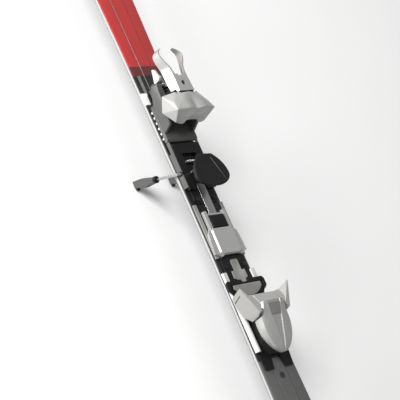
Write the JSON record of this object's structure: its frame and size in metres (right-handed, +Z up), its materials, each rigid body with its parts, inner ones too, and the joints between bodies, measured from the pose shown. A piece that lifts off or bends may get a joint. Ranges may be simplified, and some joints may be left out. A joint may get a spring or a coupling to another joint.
{
  "type": "alpine ski with binding",
  "caption": "Carving ski with a rail-mounted adjustable binding: toe piece with wings, sliding pad, step-in heel with forked lever, and a ski brake.",
  "frame": {"origin": "on the running base, under the middle of the boot sole", "axes": "+X to the tip of the ski, +Y to the skier's left, +Z up from the base"},
  "size_m": [1.665, 0.122, 0.1706],
  "materials": {
    "sintered_base": "ground polyethylene base",
    "core_wood": "laminated wood core, hidden",
    "edge_steel": "ground steel edge",
    "sidewall": "pale laminate sidewall",
    "top_sheet": "printed red, black and grey sheet",
    "black_plastic": "moulded, satin",
    "charcoal_plastic": "moulded, grained",
    "grey_plastic": "moulded, satin",
    "light_grey_plastic": "moulded, satin",
    "silver_plastic": "silver paint, satin",
    "white_plastic": "moulded, glossy",
    "black_metal": "black coated steel",
    "pin_steel": "plated steel",
    "spring_steel": "bright spring wire"
  },
  "bodies": {
    "ski": {"base_sole": "sintered_base", "ski_core": "core_wood", "steel_edge_left": "edge_steel", "steel_edge_right": "edge_steel", "sidewall_left": "sidewall", "sidewall_right": "sidewall", "top_sheet": "top_sheet", "tail_protector": "black_plastic", "heel_track": "black_plastic", "rack_left": "white_plastic", "rack_right": "white_plastic", "centre_plate": "silver_plastic", "lock_tab_pin": "pin_steel", "centre_rail_left": "light_grey_plastic", "centre_rail_right": "light_grey_plastic", "toe_track": "black_plastic", "toe_rail_left": "white_plastic", "toe_rail_right": "white_plastic", "track_screw_1": "black_metal", "track_screw_2": "black_metal", "track_screw_3": "black_metal", "track_screw_4": "black_metal"},
    "heel_unit": {"heel_carriage": "grey_plastic", "heel_housing": "grey_plastic", "heel_frame": "black_metal", "heel_cup_pin": "pin_steel", "heel_lever_pin": "pin_steel", "heel_spring": "spring_steel", "brake_base": "black_plastic", "brake_skirt_left": "grey_plastic", "brake_skirt_right": "grey_plastic", "brake_spring_pin": "pin_steel", "brake_spring": "spring_steel", "adjust_band": "spring_steel"},
    "lever": {"heel_lever": "silver_plastic"},
    "cup": {"heel_cup": "silver_plastic"},
    "heel_piston": {"heel_plunger": "pin_steel"},
    "heel_screw": {"heel_release_screw": "pin_steel"},
    "size_latch": {"heel_size_latch": "white_plastic"},
    "brake_arms": {"brake_arm_left": "spring_steel", "brake_arm_right": "spring_steel", "brake_foot_left": "grey_plastic", "brake_foot_right": "grey_plastic"},
    "pedal": {"brake_pedal": "black_plastic", "brake_pedal_pad": "charcoal_plastic"},
    "tab": {"lock_tab": "black_plastic"},
    "toe_unit": {"toe_carriage": "black_plastic", "toe_link": "light_grey_plastic", "afd_frame": "black_plastic", "toe_housing": "silver_plastic", "toe_window": "light_grey_plastic", "wing_pin_left": "pin_steel", "wing_pin_right": "pin_steel", "toe_spring": "spring_steel"},
    "pad": {"afd_pad": "light_grey_plastic"},
    "left_wing": {"wing_left": "silver_plastic"},
    "right_wing": {"wing_right": "silver_plastic"},
    "toe_piston": {"toe_plunger": "pin_steel"},
    "toe_screw": {"toe_release_screw": "pin_steel"}
  },
  "joints": [
    {"name": "heel_adjust", "type": "slide", "parent": "ski", "child": "heel_unit", "axis": [1, 0, 0], "range_m": [-0.025, 0.008]},
    {"name": "toe_adjust", "type": "slide", "parent": "ski", "child": "toe_unit", "axis": [1, 0, 0], "range_m": [-0.01, 0.008]},
    {"name": "heel_lever_hinge", "type": "hinge", "parent": "heel_unit", "child": "lever", "pos_m": [-0.212, 0, 0.066], "axis": [0, -1, 0], "range_deg": [0, 22]},
    {"name": "heel_cup_hinge", "type": "hinge", "parent": "heel_unit", "child": "cup", "pos_m": [-0.2, 0, 0.071], "axis": [0, -1, 0], "range_deg": [0, 55]},
    {"name": "heel_plunger_slide", "type": "slide", "parent": "heel_unit", "child": "heel_piston", "axis": [-1, 0, 0], "range_m": [0, 0.0025]},
    {"name": "heel_screw_turn", "type": "hinge", "parent": "heel_unit", "child": "heel_screw", "pos_m": [-0.236, 0, 0.0296], "axis": [1, 0, 0], "range_deg": [-180, 180]},
    {"name": "size_latch_hinge", "type": "hinge", "parent": "heel_unit", "child": "size_latch", "pos_m": [-0.2435, -0.014, 0.029], "axis": [0, 1, 0], "range_deg": [0, 20]},
    {"name": "brake_hinge", "type": "hinge", "parent": "heel_unit", "child": "brake_arms", "pos_m": [-0.071, 0, 0.0158], "axis": [0, 1, 0], "range_deg": [0, 72], "stiffness_Nm_per_rad": 1.2, "springref_deg": -51.57},
    {"name": "brake_pedal_hinge", "type": "hinge", "parent": "brake_arms", "child": "pedal", "pos_m": [-0.071, 0, 0.044], "axis": [0, 1, 0], "range_deg": [-72, 0]},
    {"name": "lock_tab_hinge", "type": "hinge", "parent": "ski", "child": "tab", "pos_m": [0.034, 0, 0.0172], "axis": [0, 1, 0], "range_deg": [0, 65]},
    {"name": "afd_pad_slide", "type": "slide", "parent": "toe_unit", "child": "pad", "axis": [0, 1, 0], "range_m": [-0.005, 0.005], "stiffness_N_per_m": 500},
    {"name": "wing_left_hinge", "type": "hinge", "parent": "toe_unit", "child": "left_wing", "pos_m": [0.21, 0.036, 0.04], "axis": [0, 0, -1], "range_deg": [0, 30], "stiffness_Nm_per_rad": 25, "springref_deg": -17.19},
    {"name": "wing_right_hinge", "type": "hinge", "parent": "toe_unit", "child": "right_wing", "pos_m": [0.21, -0.036, 0.04], "axis": [0, 0, 1], "range_deg": [0, 30], "stiffness_Nm_per_rad": 25, "springref_deg": -17.19},
    {"name": "toe_plunger_slide", "type": "slide", "parent": "toe_unit", "child": "toe_piston", "axis": [1, 0, 0], "range_m": [0, 0.0021]},
    {"name": "toe_screw_turn", "type": "hinge", "parent": "toe_unit", "child": "toe_screw", "pos_m": [0.268, 0, 0.0345], "axis": [1, 0, 0], "range_deg": [-180, 180]}
  ],
  "couplings": [
    {"joint": "heel_cup_hinge", "follows": "heel_lever_hinge", "ratio": 2.5},
    {"joint": "heel_plunger_slide", "follows": "heel_lever_hinge", "m_per_rad": 0.0065},
    {"joint": "brake_pedal_hinge", "follows": "brake_hinge", "ratio": -1},
    {"joint": "toe_plunger_slide", "follows": "wing_left_hinge", "m_per_rad": 0.004}
  ]
}
